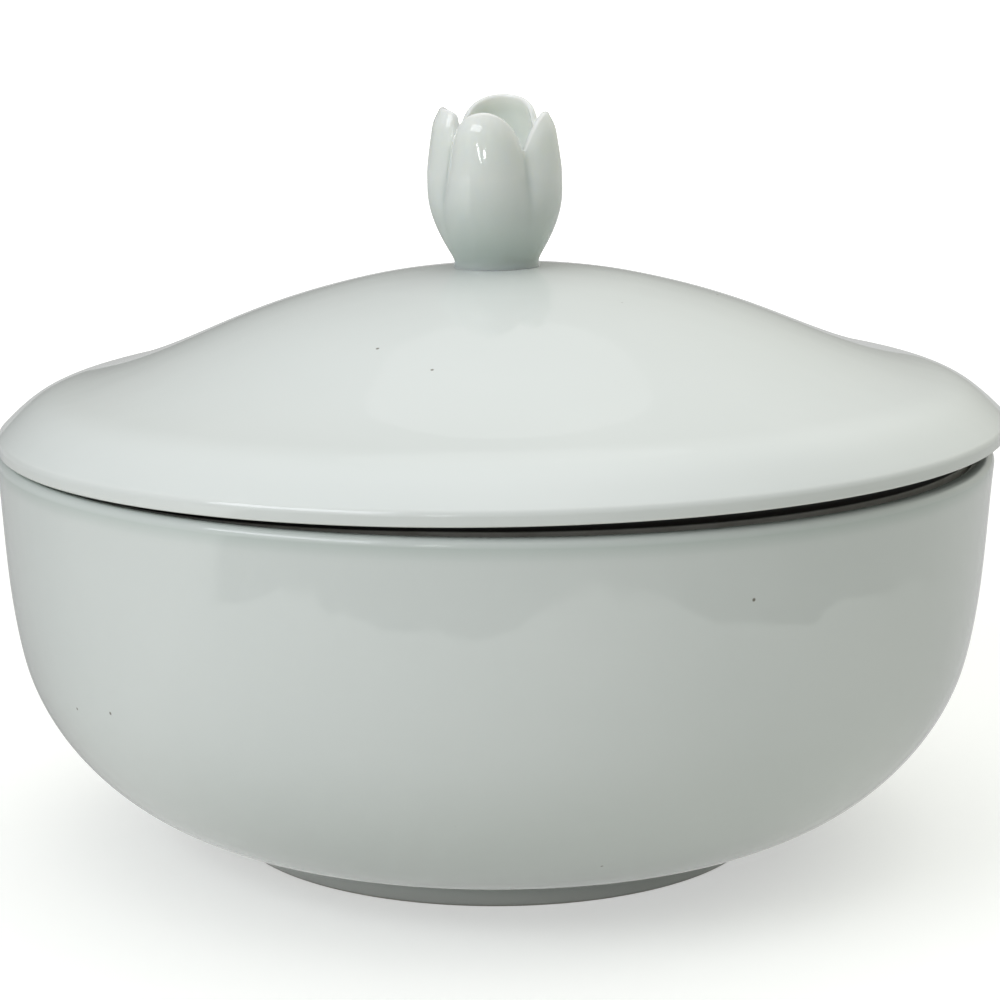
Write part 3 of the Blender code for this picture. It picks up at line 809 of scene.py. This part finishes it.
card_body = bmesh.new()
bmesh.ops.create_circle(card_body, cap_ends=True, segments=64, radius=CARD_RADIUS)
bmesh.ops.translate(card_body, vec=(0, 0, MM), verts=card_body.verts)
card = make_object(card_body, "reflection_card")
card.visible_camera = card.visible_diffuse = card.visible_shadow = card.visible_transmission = False

# %% Where the card is grey and where the paper ends
GREY_START, GREY_FULL = -0.6, 0.45  # -1 is in front, 1 is behind
PAPER_RADIUS, PAPER_WAVE = 0.333, 0.016  # m
WAVES_PER_TURN, WAVE_START = 5.37, 9.28
PAPER_LEFT, LEFT_FADE = -0.79, 0.03  # -1 is left, 1 is right
RIPPLE_SIZE, RIPPLE_DEPTH = 0.09, 0.07  # m

paint = new_material("grey_card")
tree = paint.node_tree
place = add_node(tree, "ShaderNodeTexCoord").outputs["Object"]
away = add_node(tree, "ShaderNodeVectorMath", {"operation": "LENGTH"}, {0: place}).outputs["Value"]
towards = add_node(tree, "ShaderNodeVectorMath", {"operation": "NORMALIZE"}, {0: place})
parts = add_node(tree, "ShaderNodeSeparateXYZ", None, {0: towards.outputs["Vector"]}).outputs
beside = add_node(tree, "ShaderNodeMapRange",
                  {"interpolation_type": "SMOOTHSTEP", "From Min": GREY_START, "From Max": GREY_FULL},
                  {"Value": parts["Y"]})
angle = add_node(tree, "ShaderNodeMath", {"operation": "ARCTAN2"}, {0: parts["Y"], 1: parts["X"]})
phase = add_node(tree, "ShaderNodeMath", {"operation": "MULTIPLY_ADD", 1: WAVES_PER_TURN, 2: WAVE_START},
                 {0: angle.outputs["Value"]})
wave = add_node(tree, "ShaderNodeMath", {"operation": "COSINE"}, {0: phase.outputs["Value"]})
uneven = add_node(tree, "ShaderNodeTexNoise", {"Scale": 1 / RIPPLE_SIZE, "Detail": 3.0}, {"Vector": place})
ripple = add_node(tree, "ShaderNodeMath", {"operation": "MULTIPLY_ADD", 1: RIPPLE_DEPTH},
                  {0: uneven.outputs["Fac"], 2: away})
reach = add_node(tree, "ShaderNodeMath", {"operation": "MULTIPLY_ADD", 1: PAPER_WAVE},
                 {0: wave.outputs["Value"], 2: ripple.outputs["Value"]})
beyond = add_node(tree, "ShaderNodeMapRange", {"From Min": PAPER_RADIUS - MM, "From Max": PAPER_RADIUS + MM},
                  {"Value": reach.outputs["Value"]})
rightward = add_node(tree, "ShaderNodeMapRange", {"From Min": PAPER_LEFT - LEFT_FADE, "From Max": PAPER_LEFT},
                     {"Value": parts["X"]})
paper_end = add_node(tree, "ShaderNodeMath", {"operation": "MULTIPLY"},
                     {0: beyond.outputs["Result"], 1: rightward.outputs["Result"]})
cover = add_node(tree, "ShaderNodeMath", {"operation": "MAXIMUM"},
                 {0: beside.outputs["Result"], 1: paper_end.outputs["Value"]})
print("the paper ends", PAPER_RADIUS, "m in front")

# %% How bright the card is
# To the eye: an even matt grey, a little lighter on the right, and dim beyond the paper.
LEFT_GREY, RIGHT_GREY, DIM = 0.42, 0.62, 0.25
SIDE = 0.8

side_grey = add_node(tree, "ShaderNodeMapRange",
                     {"From Min": -SIDE, "From Max": SIDE, "To Min": LEFT_GREY, "To Max": RIGHT_GREY},
                     {"Value": parts["X"]})
grey = add_node(tree, "ShaderNodeMapRange", {"To Min": DIM},
                {"Value": beside.outputs["Result"], "To Max": side_grey.outputs["Result"]})
shine = add_node(tree, "ShaderNodeEmission", None, {"Strength": grey.outputs["Result"]})
clear = add_node(tree, "ShaderNodeBsdfTransparent")
sheet = add_node(tree, "ShaderNodeMixShader", None,
                 {0: cover.outputs["Value"], 1: clear.outputs["BSDF"], 2: shine.outputs["Emission"]})
add_node(tree, "ShaderNodeOutputMaterial", None, {"Surface": sheet.outputs["Shader"]})
card.data.materials.append(paint)
print("the card shows", LEFT_GREY, "on the left,", RIGHT_GREY, "on the right")

# %% [markdown]
# ## Camera
# The camera stands 60 cm in front of the bowl and looks down on it by eleven degrees. Moving it back and
# forth changes how the ellipses of the lid's edge and of the foot ring differ, and that gave its distance.
# The lid's width in the photograph then gave its lens.

# %% Camera
CAMERA_PLACE = (0, -0.600, 0.19359)
LOOK_DOWN, LOOK_ASIDE = 0.1956, -0.00165  # radians
LENS, SENSOR = 97.96, 36.0  # mm

camera_data = bpy.data.cameras.new("camera")
camera_data.sensor_width = SENSOR
camera_data.lens = LENS
camera_data.clip_end = 100.0
camera = bpy.data.objects.new("camera", camera_data)
bpy.context.scene.collection.objects.link(camera)
camera.location = CAMERA_PLACE
camera.rotation_euler = (math.pi / 2 - LOOK_DOWN, 0, LOOK_ASIDE)
bpy.context.scene.camera = camera
bpy.context.scene.view_settings.view_transform = "Standard"
print("camera lens", camera_data.lens, "mm")
